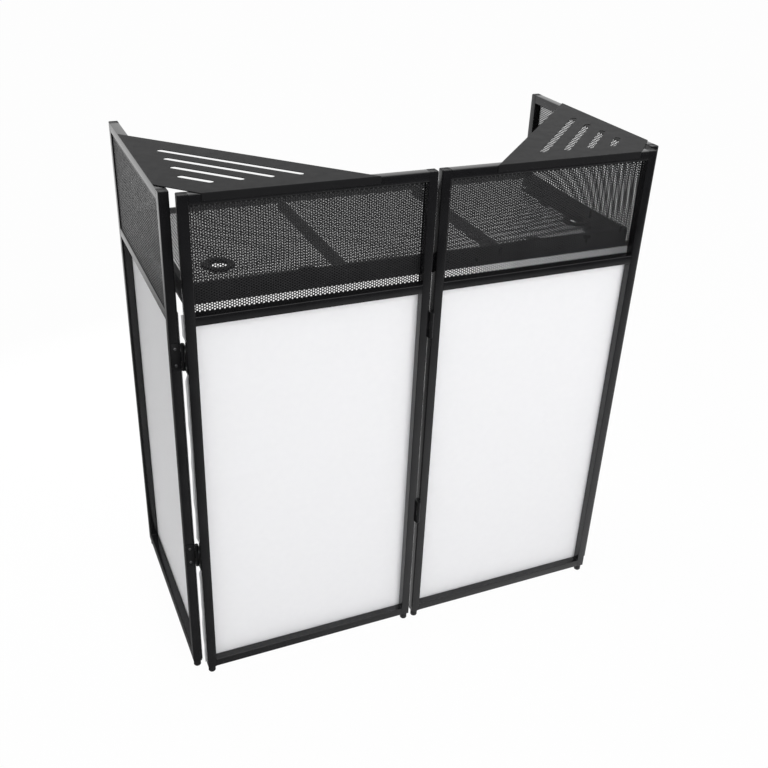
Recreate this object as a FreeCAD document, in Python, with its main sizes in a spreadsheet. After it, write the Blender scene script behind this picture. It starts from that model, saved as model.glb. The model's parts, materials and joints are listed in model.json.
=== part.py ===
import FreeCAD
import Part
import Sketcher
import math
import os
import re

# A folding booth of four tube panels: two in front, hinged at the centre, and a wing at each side.
# X runs to the right, Y to the back and Z up; the origin lies on the floor under the middle.
# The left half is drawn, and the right half is its mirror image.

doc = FreeCAD.newDocument("dj_booth")
sheet = doc.addObject("Spreadsheet::Sheet", "size")

SIZES = {
    # Panels of square tube
    "tube": 20.0,
    "tube_wall": 1.5,
    "tube_corner": 1.5,
    "panel_height": 1160.0,
    "upper_window": 223.0,
    "front_width": 522.0,
    "wing_length": 508.0,
    "wing_setback": 31.0,
    "wing_clearance": 0.3,
    "overrun": 2.0,
    # Caps and feet of the posts
    "cap_thickness": 1.5,
    "cap_plug": 8.0,
    "plug_clearance": 0.2,
    "foot_height": 18.0,
    "foot_radius": 8.5,
    "collar_radius": 9.6,
    "collar_height": 2.0,
    "foot_plug": 10.0,
    # Perforated sheets of the upper windows
    "mesh_thickness": 1.0,
    "mesh_inset": 1.0,
    "wing_mesh_inset": 2.5,
    "mesh_rim": 9.0,
    "mesh_pitch": 55.0,
    "mesh_hole": 34.0,
    # Cloth of the lower windows and the tape that holds it
    "tape_width": 14.0,
    "tape_thickness": 1.2,
    "scrim_thickness": 0.8,
    "scrim_inset": 1.5,
    # Butt hinges
    "hinge_length": 60.0,
    "upper_hinge_drop": 75.0,
    "lower_hinge_height": 323.0,
    "leaf_width": 22.0,
    "leaf_thickness": 1.8,
    "knuckle_radius": 3.7,
    "knuckle_clearance": 0.4,
    "corner_clearance": 0.3,
    "centre_clearance": 1.05,
    "pin_radius": 2.0,
    "pin_clearance": 0.05,
    "pin_forward": 6.0,
    "screw_reach": 14.0,
    "screw_spacing": 37.0,
    "screw_head_radius": 3.4,
    "screw_head_height": 1.2,
    # Brackets on the wings that carry the table
    "bracket_thickness": 3.0,
    "bracket_width": 40.0,
    "bracket_reach": 42.0,
    "bracket_inset": 100.0,
    "bracket_gap": 0.5,
    "pad_radius": 8.0,
    "pad_thickness": 2.0,
    "seat_gap": 0.2,
    # Table
    "table_setback": 44.0,
    "table_depth": 446.0,
    "table_gap": 16.0,
    "table_rim": 44.0,
    "table_sheet": 1.5,
    "table_flange": 20.0,
    "table_hem": 6.0,
    "end_hem": 11.0,
    "panel_sheet": 1.0,
    "bar_place": 179.0,
    "bar_width": 10.0,
    "bar_depth": 28.0,
    "table_mesh_rim": 8.0,
    "table_mesh_pitch": 100.0,
    "table_mesh_hole": 62.0,
    "grommet_inset": 91.0,
    "grommet_setback": 76.0,
    "grommet_flange_radius": 34.0,
    "grommet_flange_height": 5.5,
    "grommet_slope": 3.0,
    "grommet_sleeve_radius": 27.0,
    "grommet_bore_radius": 19.0,
    "grommet_depth": 3.0,
    "grommet_clearance": 0.2,
    "clip_width": 32.0,
    "clip_thickness": 2.0,
    "clip_drop": 20.0,
    "clip_rise": 5.0,
    "clip_hook": 8.0,
    # Corner shelves
    "shelf_leg": 425.0,
    "shelf_corner_gap": 1.0,
    "shelf_thickness": 1.5,
    "shelf_lip": 14.0,
    "lip_gap": 0.3,
    "slot_margin": 59.5,
    "slot_width": 14.0,
    "slot_first": 84.0,
    "slot_pitch": 59.2,
}

for row, (alias, number) in enumerate(SIZES.items(), start=1):
    sheet.set(f"A{row}", alias)
    sheet.set(f"B{row}", str(number))
    sheet.setAlias(f"B{row}", alias)
doc.recompute()

# Main places, as sums of the sheet's words. The gaps between the panels are as wide as the hinges.
CENTRE_GAP = "2 * (knuckle_radius + centre_clearance)"
WING_GAP = "2 * (knuckle_radius + corner_clearance)"
FRONT_Y = "-(wing_setback + wing_length - pin_forward - knuckle_radius) / 2"
LEFT_X = f"-({CENTRE_GAP} / 2 + front_width)"
WING_X = f"{LEFT_X} - {WING_GAP} - tube"
WING_Y = f"{FRONT_Y} + wing_setback"
MID_RAIL = "(panel_height - 2 * tube - upper_window)"
MID_Z = f"foot_height + {MID_RAIL}"
TOP_Z = "foot_height + panel_height"
TABLE_X = f"{LEFT_X} - {WING_GAP} + table_gap"
TABLE_Y = f"{FRONT_Y} + table_setback"
TABLE_Z = f"{MID_Z} + tube + bracket_thickness + pad_thickness + seat_gap + table_rim"

X_AXIS = FreeCAD.Vector(1, 0, 0)
Y_AXIS = FreeCAD.Vector(0, 1, 0)
Z_AXIS = FreeCAD.Vector(0, 0, 1)
UPRIGHT = FreeCAD.Rotation()
WORD = re.compile(r"[a-z][a-z_]+")
# Small round pieces are drawn with this many flats; the share is that of the flats' own radius
ROUND_SIDES = 8
flat_share = math.cos(math.pi / ROUND_SIDES)
nodes = []


def bind(item, path, text):
    """Tie a property to the sheet; every word in the text is one of the sheet's names."""
    item.setExpression(path, WORD.sub(lambda word: "size." + word.group(0), text))


def place(item, x, y, z, turn=UPRIGHT):
    """Turn an item and tie its place to the sheet."""
    item.Placement = FreeCAD.Placement(FreeCAD.Vector(), turn)
    for axis, text in zip("xyz", (x, y, z)):
        bind(item, f"Placement.Base.{axis}", text)
    return item


def block(name, length, width, height, x, y, z):
    """A plain block, placed by its left, front, lower corner."""
    item = doc.addObject("Part::Box", name)
    bind(item, "Length", length)
    bind(item, "Width", width)
    bind(item, "Height", height)
    return place(item, x, y, z)


def rod(name, radius, length, x, y, z, turn=UPRIGHT):
    """A round rod, placed by the centre of its first end."""
    item = doc.addObject("Part::Cylinder", name)
    bind(item, "Radius", radius)
    bind(item, "Height", length)
    return place(item, x, y, z, turn)


def faceted(name, radius, length, x, y, z, turn=UPRIGHT):
    """A small round piece in flats, placed as a rod is."""
    item = doc.addObject("Part::Prism", name)
    item.Polygon = ROUND_SIDES
    bind(item, "Circumradius", radius)
    bind(item, "Height", length)
    return place(item, x, y, z, turn)


def fuse(name, pieces):
    item = doc.addObject("Part::MultiFuse", name)
    item.Shapes = pieces
    item.Refine = True
    return item


def cut(name, base, tool):
    item = doc.addObject("Part::Cut", name)
    item.Base = base
    item.Tool = tool
    return item


def draw(sketch, points):
    """A closed outline of straight lines, each corner tied to the sheet."""
    count = len(points)
    first = sketch.GeometryCount
    for step in range(count):
        here = 2 * math.pi * step / count
        there = 2 * math.pi * (step + 1) / count
        start = FreeCAD.Vector(math.cos(here), math.sin(here), 0)
        end = FreeCAD.Vector(math.cos(there), math.sin(there), 0)
        sketch.addGeometry(Part.LineSegment(start, end))
    for step, (x, y) in enumerate(points):
        line = first + step
        before = first + (step - 1) % count
        sketch.addConstraint(Sketcher.Constraint("Coincident", before, 2, line, 1))
        for kind, text in (("DistanceX", x), ("DistanceY", y)):
            index = sketch.addConstraint(Sketcher.Constraint(kind, -1, 1, line, 1, 1.0))
            bind(sketch, f"Constraints[{index}]", text)


def profile(name, *outlines):
    """A sketch of one or more closed outlines, to be drawn out into bars or turned."""
    sketch = doc.addObject("Sketcher::SketchObject", name)
    for points in outlines:
        draw(sketch, points)
    return sketch


def bar(name, section, length, x, y, z, turn=UPRIGHT):
    """A section drawn out along its own Z, then turned and placed."""
    item = doc.addObject("Part::Extrusion", name)
    item.Base = section
    item.DirMode = "Custom"
    item.Dir = Z_AXIS
    item.Solid = True
    bind(item, "LengthFwd", length)
    return place(item, x, y, z, turn)


def turned(name, section, x, y, z):
    """A section in X and Y turned about its Y axis, which then stands upright."""
    item = doc.addObject("Part::Revolution", name)
    item.Source = section
    item.Axis = Y_AXIS
    item.Angle = 360
    item.Solid = True
    return place(item, x, y, z, FreeCAD.Rotation(X_AXIS, 90))


def node(label, *pieces):
    """One named sub-part: a single piece, or a group of separate ones."""
    if len(pieces) == 1:
        item = pieces[0]
    else:
        item = doc.addObject("Part::Compound", label)
        item.Links = list(pieces)
    item.Label = label
    nodes.append(item)
    return item


def mirrored(name, item):
    """The right-hand twin of a left-hand piece."""
    twin = doc.addObject("Part::Mirroring", name)
    twin.Source = item
    twin.Normal = X_AXIS
    return twin


def pair(left_label, right_label, *pieces):
    """A left-hand sub-part and its twin."""
    node(right_label, mirrored(right_label, node(left_label, *pieces)))


def rounded_square(side, corner):
    """The eight corners of a square whose edges are eased by flats."""
    far = f"{side} - {corner}"
    return [
        (corner, "0"), (far, "0"), (side, corner), (side, far),
        (far, side), (corner, side), ("0", far), ("0", corner),
    ]


# The tube section has its corner on the origin
inner = "tube - tube_wall"
tube_section = profile(
    "tube_section",
    rounded_square("tube", "tube_corner"),
    [("tube_wall", "tube_wall"), (inner, "tube_wall"), (inner, inner), ("tube_wall", inner)],
)


class Panel:
    """A panel's own directions: along its width, and inward from its outer face."""

    def __init__(self, name, twin, width, height, x, y, sideways):
        self.name = name
        self.twin = twin
        self.width = width
        self.height = height
        self.x = x
        self.y = y
        self.sideways = sideways

    def spot(self, along, inward):
        if self.sideways:
            return f"{self.x} + {inward}", f"{self.y} + {along}"
        return f"{self.x} + {along}", f"{self.y} + {inward}"

    def block(self, name, length, depth, height, along, inward, z):
        x, y = self.spot(along, inward)
        if self.sideways:
            length, depth = depth, length
        return block(f"{self.name}_{name}", length, depth, height, x, y, z)

    def pair(self, name, *pieces):
        pair(f"{self.name}_{name}", f"{self.twin}_{name}", *pieces)


def perforated(width, height, thickness, rim, pitch, hole, keep_out=None):
    """A flat sheet with staggered diamond openings inside a plain rim, in X and Y."""
    columns = round((width - 2 * rim) / pitch)
    rows = round((height - 2 * rim) / pitch)
    across = (width - 2 * rim) / columns
    upward = (height - 2 * rim) / rows
    reach = hole / 2
    wires = [Part.makePolygon([FreeCAD.Vector(x, y, 0) for x, y in (
        (0, 0), (width, 0), (width, height), (0, height), (0, 0))])]
    for half_row in range(2 * rows - 1):
        shift = half_row % 2
        for column in range(columns - shift):
            x = width / 2 + (column - (columns - 1 - shift) / 2) * across
            y = height / 2 + (half_row - (rows - 1)) * upward / 2
            if keep_out and math.hypot(x - keep_out[0], y - keep_out[1]) < keep_out[2] + reach:
                continue
            wires.append(Part.makePolygon([FreeCAD.Vector(x + a * reach, y + b * reach, 0) for a, b in (
                (1, 0), (0, 1), (-1, 0), (0, -1), (1, 0))]))
    face = Part.makeFace(wires, "Part::FaceMakerBullseye")
    return face.extrude(FreeCAD.Vector(0, 0, thickness))


def build_panel(panel, mesh_depth, mesh_width, mesh_height):
    """Posts, rails, caps, feet, perforated sheet, tape and cloth of one panel and its twin."""
    top = f"foot_height + {panel.height}"
    far = f"{panel.width} - tube"
    lying = FreeCAD.Rotation(X_AXIS, -90) if panel.sideways else FreeCAD.Rotation(Y_AXIS, 90)

    posts = []
    caps = []
    feet = []
    for end, along in (("first", "0"), ("second", far)):
        x, y = panel.spot(along, "0")
        posts.append(bar(
            f"{panel.name}_{end}_post", tube_section, f"{panel.height} - cap_thickness",
            x, y, "foot_height"))
        plug = "tube_wall + plug_clearance"
        plug_side = "tube - 2 * (tube_wall + plug_clearance)"
        caps.append(fuse(f"{panel.name}_{end}_cap", [
            panel.block(f"{end}_cap_plate", "tube", "tube", "cap_thickness",
                        along, "0", f"{top} - cap_thickness"),
            panel.block(f"{end}_cap_plug", plug_side, plug_side, "cap_plug",
                        f"{along} + {plug}", plug, f"{top} - cap_thickness - cap_plug"),
        ]))
        # A glide foot: a pad on the floor, a collar under the tube's end and a plug inside it
        x, y = panel.spot(f"{along} + tube / 2", "tube / 2")
        feet.append(fuse(f"{panel.name}_{end}_foot", [
            faceted(f"{panel.name}_{end}_glide", "foot_radius", "foot_height", x, y, "0"),
            faceted(f"{panel.name}_{end}_collar", "collar_radius", "collar_height",
                    x, y, "foot_height - collar_height"),
            panel.block(f"{end}_foot_plug", plug_side, plug_side, "foot_plug",
                        f"{along} + {plug}", plug, "foot_height"),
        ]))
    panel.pair("posts", *posts)
    panel.pair("end_caps", *caps)
    panel.pair("feet", *feet)

    rails = []
    x, y = panel.spot("tube", "0")
    for rail, low in (("bottom", "foot_height"), ("mid", MID_Z), ("top", f"{top} - tube")):
        rails.append(bar(
            f"{panel.name}_{rail}_rail", tube_section, f"{panel.width} - 2 * tube",
            x, y, f"{low} + tube", lying))
    panel.pair("rails", *rails)

    window_low = f"{MID_Z} + tube"
    x, y = panel.spot("tube", mesh_depth)
    mesh = doc.addObject("Part::Feature", f"{panel.name}_mesh")
    mesh.Shape = perforated(
        mesh_width, mesh_height, SIZES["mesh_thickness"],
        SIZES["mesh_rim"], SIZES["mesh_pitch"], SIZES["mesh_hole"])
    if panel.sideways:
        place(mesh, x, y, window_low, FreeCAD.Rotation(FreeCAD.Vector(1, 1, 1), 120))
    else:
        place(mesh, x, f"{y} + mesh_thickness", window_low, FreeCAD.Rotation(X_AXIS, 90))
    panel.pair("mesh", mesh)

    edge = "(tube - tape_width) / 2"
    tall = f"{MID_RAIL} + tube - 2 * ({edge})"
    wide = f"{panel.width} - 2 * ({edge} + tape_width)"
    panel.pair(
        "hook_tape",
        panel.block("first_tape", "tape_width", "tape_thickness", tall,
                    edge, "tube", f"foot_height + {edge}"),
        panel.block("second_tape", "tape_width", "tape_thickness", tall,
                    f"{far} + {edge}", "tube", f"foot_height + {edge}"),
        panel.block("bottom_tape", wide, "tape_thickness", "tape_width",
                    f"{edge} + tape_width", "tube", f"foot_height + {edge}"),
        panel.block("top_tape", wide, "tape_thickness", "tape_width",
                    f"{edge} + tape_width", "tube", f"{MID_Z} + {edge}"),
    )
    panel.pair("scrim", panel.block(
        "cloth", f"{panel.width} - 2 * scrim_inset", "scrim_thickness",
        f"{MID_RAIL} + tube - 2 * scrim_inset",
        "scrim_inset", "tube + tape_thickness", "foot_height + scrim_inset"))


front = Panel("front_left", "front_right", "front_width", "panel_height", LEFT_X, FRONT_Y, False)
build_panel(front, "tube - mesh_inset - mesh_thickness",
            SIZES["front_width"] - 2 * SIZES["tube"], SIZES["upper_window"])

# The wings stand a hair lower, so that they swing freely under the shelves
wing = Panel("left_wing", "right_wing", "wing_length", "panel_height - wing_clearance",
             WING_X, WING_Y, True)
build_panel(wing, "wing_mesh_inset",
            SIZES["wing_length"] - 2 * SIZES["tube"], SIZES["upper_window"] - SIZES["wing_clearance"])


# Butt hinges. A leaf is drawn with the pin on its Z axis, reaching along X, and lies on the
# face at the given offset from the pin, on the plus or minus side in Y.
THIRD = "hinge_length / 3"
HEIGHTS = (("upper", f"{MID_RAIL} - upper_hinge_drop"), ("lower", "lower_hinge_height"))


def leaf(name, knuckles, offset, side, x, y, z, turn):
    """A leaf plate with its knuckles and bore."""
    low = f"{offset} - leaf_thickness" if side > 0 else f"-({offset})"
    start = "knuckle_radius + knuckle_clearance"
    solids = [block(f"{name}_plate", f"leaf_width - ({start})", "leaf_thickness", "hinge_length",
                    start, low, "0")]
    for index, (bottom, length) in enumerate(knuckles):
        solids.append(block(f"{name}_tongue_{index}", start, "leaf_thickness", length,
                            "0", low, bottom))
        solids.append(faceted(f"{name}_knuckle_{index}", "knuckle_radius", length, "0", "0", bottom))
    body = fuse(f"{name}_body", solids)
    bore = faceted(f"{name}_bore", f"(pin_radius + pin_clearance) / {flat_share}",
                   "hinge_length", "0", "0", "0")
    return place(cut(name, body, bore), x, y, z, turn)


def screws(name, offset, side, x, y, z, turn):
    """Two round screw heads on the open face of a leaf."""
    face = f"{offset} - leaf_thickness" if side > 0 else f"leaf_thickness - ({offset})"
    heads = []
    for sign in ("-", "+"):
        heads.append(faceted(
            f"{name}_{len(heads)}", "screw_head_radius", "screw_head_height",
            "screw_reach", face, f"hinge_length / 2 {sign} screw_spacing / 2",
            FreeCAD.Rotation(X_AXIS, 90 * side)))
    item = doc.addObject("Part::Compound", name)
    item.Links = heads
    return place(item, x, y, z, turn)


OUTER_KNUCKLES = [
    ("0", f"{THIRD} - knuckle_clearance / 2"),
    (f"2 * {THIRD} + knuckle_clearance / 2", f"{THIRD} - knuckle_clearance / 2"),
]
MIDDLE_KNUCKLE = [(f"{THIRD} + knuckle_clearance / 2", f"{THIRD} - knuckle_clearance")]


def hinge(name, offset, x, y, fixed_turn, fixed_side, moving_turn, moving_side):
    """Leaves, pins and screws of the upper and lower hinge on one line."""
    made = {"fixed_leaves": [], "moving_leaves": [], "pins": [], "fixed_screws": [], "moving_screws": []}
    for level, height in HEIGHTS:
        z = f"foot_height + {height} - hinge_length / 2"
        stem = f"{name}_{level}"
        made["fixed_leaves"].append(leaf(
            f"{stem}_fixed_leaf", OUTER_KNUCKLES, offset, fixed_side, x, y, z, fixed_turn))
        made["moving_leaves"].append(leaf(
            f"{stem}_moving_leaf", MIDDLE_KNUCKLE, offset, moving_side, x, y, z, moving_turn))
        made["pins"].append(rod(f"{stem}_pin", "pin_radius", "hinge_length", x, y, z))
        made["fixed_screws"].append(screws(
            f"{stem}_fixed_screws", offset, fixed_side, x, y, z, fixed_turn))
        made["moving_screws"].append(screws(
            f"{stem}_moving_screws", offset, moving_side, x, y, z, moving_turn))
    return made


# The corner hinge lies in the gap between the front panel's side and the wing's front
CORNER_OFFSET = f"{WING_GAP} / 2"
corner = hinge(
    "corner_hinge", CORNER_OFFSET, f"{LEFT_X} - {CORNER_OFFSET}", f"{WING_Y} - {CORNER_OFFSET}",
    FreeCAD.Rotation(Z_AXIS, -90), 1, FreeCAD.Rotation(Z_AXIS, 180), -1)
pair("left_hinge_front_leaves", "right_hinge_front_leaves", *corner["fixed_leaves"])
pair("left_hinge_wing_leaves", "right_hinge_wing_leaves", *corner["moving_leaves"])
pair("left_hinge_pins", "right_hinge_pins", *corner["pins"])
wing.pair("hinge_screws", *corner["moving_screws"])

# The centre pin stands in front of the panels, which therefore fold flat, face to face
centre = hinge(
    "centre_hinge", f"{CENTRE_GAP} / 2", "0", f"{FRONT_Y} - pin_forward",
    FreeCAD.Rotation(Z_AXIS, 90), 1, FreeCAD.Rotation(Z_AXIS, 90), -1)
node("centre_hinge_left_leaves", *centre["fixed_leaves"])
node("centre_hinge_right_leaves", *centre["moving_leaves"])
node("centre_hinge_pins", *centre["pins"])
node("front_left_hinge_screws", *centre["fixed_screws"], *corner["fixed_screws"])
right_screws = [mirrored(f"right_{item.Name}", item) for item in corner["fixed_screws"]]
node("front_right_hinge_screws", *centre["moving_screws"], *right_screws)


# Brackets on the wing's middle rail, each with a rubber pad under the table's end
BRACKET_START = "wing_mesh_inset + mesh_thickness + bracket_gap"
brackets = []
pads = []
TABLE_START = "table_setback - wing_setback"
for end, along in (
        ("front", f"{TABLE_START} + bracket_inset"),
        ("back", f"{TABLE_START} + table_depth - bracket_inset - bracket_width")):
    low = f"{MID_Z} + tube"
    brackets.append(wing.block(
        f"{end}_bracket", "bracket_width", f"tube + bracket_reach - ({BRACKET_START})",
        "bracket_thickness", along, BRACKET_START, low))
    x, y = wing.spot(f"{along} + bracket_width / 2", "tube + table_gap + table_flange / 2")
    pads.append(faceted(f"left_wing_{end}_pad", "pad_radius", "pad_thickness",
                        x, y, f"{low} + bracket_thickness"))
wing.pair("table_brackets", *brackets)
wing.pair("table_pads", *pads)


# Table: rails of folded sheet in front and behind, folded ends, two cross bars and three panels
def channel(hem, lower):
    """A folded section with a narrow hem above, a tall wall and a lower flange of the given width."""
    return [
        ("0", "-table_rim"), (lower, "-table_rim"),
        (lower, "table_sheet - table_rim"), ("table_sheet", "table_sheet - table_rim"),
        ("table_sheet", "-table_sheet"), (hem, "-table_sheet"), (hem, "0"), ("0", "0"),
    ]


TABLE_LENGTH = f"2 * (-({TABLE_X}))"
INNER_Y = f"{TABLE_Y} + table_hem"
INNER_DEPTH = "table_depth - 2 * table_hem"
BACK_Y = f"{TABLE_Y} + table_depth"
CYCLED = FreeCAD.Rotation(FreeCAD.Vector(1, 1, 1), 120)
TURNED_BACK = FreeCAD.Rotation(X_AXIS, 90)

rail_section = profile("rail_section", channel("table_hem", "table_hem"))
back_section = profile("back_section", [(f"-({y})", z) for y, z in channel("table_hem", "table_hem")])
end_section = profile("end_section", channel("end_hem", "table_flange"))
bar_section = profile("bar_section", [
    ("0", "-bar_depth"), ("table_sheet", "-bar_depth"), ("table_sheet", "-table_sheet"),
    ("bar_width - table_sheet", "-table_sheet"), ("bar_width - table_sheet", "-bar_depth"),
    ("bar_width", "-bar_depth"), ("bar_width", "0"), ("0", "0"),
])
node("table_front_rail", bar("front_rail", rail_section, TABLE_LENGTH, TABLE_X, TABLE_Y, TABLE_Z, CYCLED))
node("table_back_rail", bar("back_rail", back_section, TABLE_LENGTH, TABLE_X, BACK_Y, TABLE_Z, CYCLED))
pair("table_left_end", "table_right_end", bar(
    "table_end", end_section, INNER_DEPTH, TABLE_X, f"{BACK_Y} - table_hem", TABLE_Z, TURNED_BACK))
pair("table_left_bar", "table_right_bar", bar(
    "table_bar", bar_section, INNER_DEPTH, "-bar_place - bar_width / 2",
    f"{BACK_Y} - table_hem", TABLE_Z, TURNED_BACK))

# Perforated panels, the outer ones with a hole for a cable grommet
inner_depth = SIZES["table_depth"] - 2 * SIZES["table_hem"]
hinge_width = 3 * SIZES["knuckle_radius"] + SIZES["centre_clearance"] + 2 * SIZES["corner_clearance"]
half_length = hinge_width + SIZES["front_width"] - SIZES["table_gap"]
outer_width = half_length - SIZES["end_hem"] - SIZES["bar_place"] - SIZES["bar_width"] / 2
centre_width = 2 * SIZES["bar_place"] - SIZES["bar_width"]
grommet_x = SIZES["grommet_inset"] - SIZES["end_hem"]
grommet_y = SIZES["grommet_setback"] - SIZES["table_hem"]
mesh_sizes = (SIZES["panel_sheet"], SIZES["table_mesh_rim"], SIZES["table_mesh_pitch"],
              SIZES["table_mesh_hole"])
PANEL_Z = f"{TABLE_Z} - panel_sheet"

centre_panel = doc.addObject("Part::Feature", "centre_panel")
centre_panel.Shape = perforated(centre_width, inner_depth, *mesh_sizes)
node("table_centre_panel", place(centre_panel, "bar_width / 2 - bar_place", INNER_Y, PANEL_Z))

outer_sheet = doc.addObject("Part::Feature", "outer_sheet")
outer_sheet.Shape = perforated(
    outer_width, inner_depth, *mesh_sizes, (grommet_x, grommet_y, SIZES["grommet_flange_radius"]))
place(outer_sheet, f"{TABLE_X} + end_hem", INNER_Y, PANEL_Z)
GROMMET_X = f"{TABLE_X} + grommet_inset"
GROMMET_Y = f"{TABLE_Y} + grommet_setback"
grommet_hole = rod("grommet_hole", "grommet_sleeve_radius + grommet_clearance",
                   "panel_sheet + 2 * overrun", GROMMET_X, GROMMET_Y, f"{PANEL_Z} - overrun")
pair("table_left_panel", "table_right_panel", cut("outer_panel", outer_sheet, grommet_hole))

grommet_section = profile("grommet_section", [
    ("grommet_bore_radius", "-grommet_depth"),
    ("grommet_sleeve_radius", "-grommet_depth"),
    ("grommet_sleeve_radius", "0"),
    ("grommet_flange_radius", "0"),
    ("grommet_flange_radius - grommet_slope", "grommet_flange_height"),
    ("grommet_bore_radius", "grommet_flange_height"),
])
grommet = turned("grommet", grommet_section, GROMMET_X, GROMMET_Y, TABLE_Z)
node("table_grommets", grommet, mirrored("right_grommet", grommet))

# A bent clip on the front rail, in the middle of each front panel
clip_section = profile("clip_section", [
    ("-clip_thickness", "-clip_drop"), ("0", "-clip_drop"), ("0", "clip_rise - clip_thickness"),
    ("clip_hook", "clip_rise - clip_thickness"), ("clip_hook", "clip_rise"),
    ("-clip_thickness", "clip_rise"),
])
clip = bar("left_clip", clip_section, "clip_width", f"{LEFT_X} + front_width / 2 - clip_width / 2",
           TABLE_Y, TABLE_Z, CYCLED)
node("table_clips", clip, mirrored("right_clip", clip))


# Corner shelf: a three-sided plate with one corner cut off, slots, and a lip over the front rail
def origin_plane(body, role):
    return next(plane for plane in body.Origin.OriginFeatures if plane.Role == role)


def body_sketch(body, name, role="XY_Plane"):
    sketch = body.newObject("Sketcher::SketchObject", name)
    sketch.AttachmentSupport = [(origin_plane(body, role), "")]
    sketch.MapMode = "FlatFace"
    return sketch


def draw_slot(sketch, first, second, radius):
    """A round-ended slot between two centres."""
    start = sketch.GeometryCount
    centres = (FreeCAD.Vector(0, 1, 0), FreeCAD.Vector(1, 0, 0))
    turns = ((math.radians(45), math.radians(225)), (math.radians(225), math.radians(405)))
    for centre_point, (begin, finish) in zip(centres, turns):
        sketch.addGeometry(Part.ArcOfCircle(Part.Circle(centre_point, Z_AXIS, 1), begin, finish))
    aside = FreeCAD.Vector(math.cos(math.radians(45)), math.sin(math.radians(45)), 0)
    sketch.addGeometry(Part.LineSegment(centres[0] - aside, centres[1] - aside))
    sketch.addGeometry(Part.LineSegment(centres[1] + aside, centres[0] + aside))
    upper, lower, inside, outside = range(start, start + 4)
    for arc, arc_end, line, line_end in (
            (upper, 2, inside, 1), (inside, 2, lower, 1), (lower, 2, outside, 1), (outside, 2, upper, 1)):
        sketch.addConstraint(Sketcher.Constraint("Tangent", arc, arc_end, line, line_end))
    sketch.addConstraint(Sketcher.Constraint("Equal", upper, lower))
    index = sketch.addConstraint(Sketcher.Constraint("Radius", upper, 1.0))
    bind(sketch, f"Constraints[{index}]", radius)
    for arc, spot in ((upper, first), (lower, second)):
        for kind, text in zip(("DistanceX", "DistanceY"), spot):
            index = sketch.addConstraint(Sketcher.Constraint(kind, -1, 1, arc, 3, 1.0))
            bind(sketch, f"Constraints[{index}]", text)


LIP_Y = "-(lip_gap + shelf_thickness)"
SHELF_CUT = "wing_setback + 2 * tube + shelf_corner_gap"
shelf = doc.addObject("PartDesign::Body", "shelf")
plate_sketch = body_sketch(shelf, "plate_sketch")
draw(plate_sketch, [(SHELF_CUT, LIP_Y), ("shelf_leg", LIP_Y), ("0", "shelf_leg"), ("0", SHELF_CUT)])
plate = shelf.newObject("PartDesign::Pad", "plate")
plate.Profile = plate_sketch
bind(plate, "Length", "shelf_thickness")

lip_sketch = body_sketch(shelf, "lip_sketch")
draw(lip_sketch, [(SHELF_CUT, LIP_Y), ("shelf_leg", LIP_Y), ("shelf_leg", "-lip_gap"),
                  (SHELF_CUT, "-lip_gap")])
lip = shelf.newObject("PartDesign::Pad", "lip")
lip.Profile = lip_sketch
lip.Reversed = True
bind(lip, "Length", "shelf_lip")

# As many slots, each shorter than the last, as the corner has room for
slot_room = SIZES["shelf_leg"] - SIZES["slot_first"] - 2 * SIZES["slot_margin"] - SIZES["slot_width"]
slot_sketch = body_sketch(shelf, "slot_sketch")
for index in range(1 + int(slot_room // SIZES["slot_pitch"])):
    reach = f"shelf_leg - slot_first - {index} * slot_pitch - slot_margin"
    draw_slot(slot_sketch, ("slot_margin", reach), (reach, "slot_margin"), "slot_width / 2")
slots = shelf.newObject("PartDesign::Pocket", "slots")
slots.Profile = slot_sketch
slots.Type = "ThroughAll"
slots.Reversed = True
slots.Midplane = True
doc.recompute()


def bend_edge(shape):
    """The long edge where the plate turns down into the lip: the highest and foremost."""
    middles = [edge.BoundBox.Center for edge in shape.Edges]
    chosen = max(range(len(middles)), key=lambda index: middles[index].z - middles[index].y)
    return f"Edge{chosen + 1}"


bend = shelf.newObject("PartDesign::Fillet", "bend")
bend.Base = (slots, [bend_edge(slots.Shape)])
bind(bend, "Radius", "shelf_thickness")
pair("left_shelf", "right_shelf", place(shelf, WING_X, FRONT_Y, TOP_Z))

doc.recompute()

for item in doc.Objects:
    if "Invalid" in item.State or "Error" in item.State:
        raise ValueError(f"{item.Label} failed")
for item in nodes:
    if item.Shape.isNull() or not item.Shape.isValid() or not item.Shape.Solids:
        raise ValueError(f"{item.Label} has no valid shape")

os.makedirs("parts", exist_ok=True)
for item in nodes:
    item.Shape.exportStep(f"parts/{item.Label}.step")
print(f"{len(nodes)} sub-parts, {sum(len(item.Shape.Solids) for item in nodes)} solids")
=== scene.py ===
import bmesh
import bpy
import json
import math
from mathutils import Matrix, Vector

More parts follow.
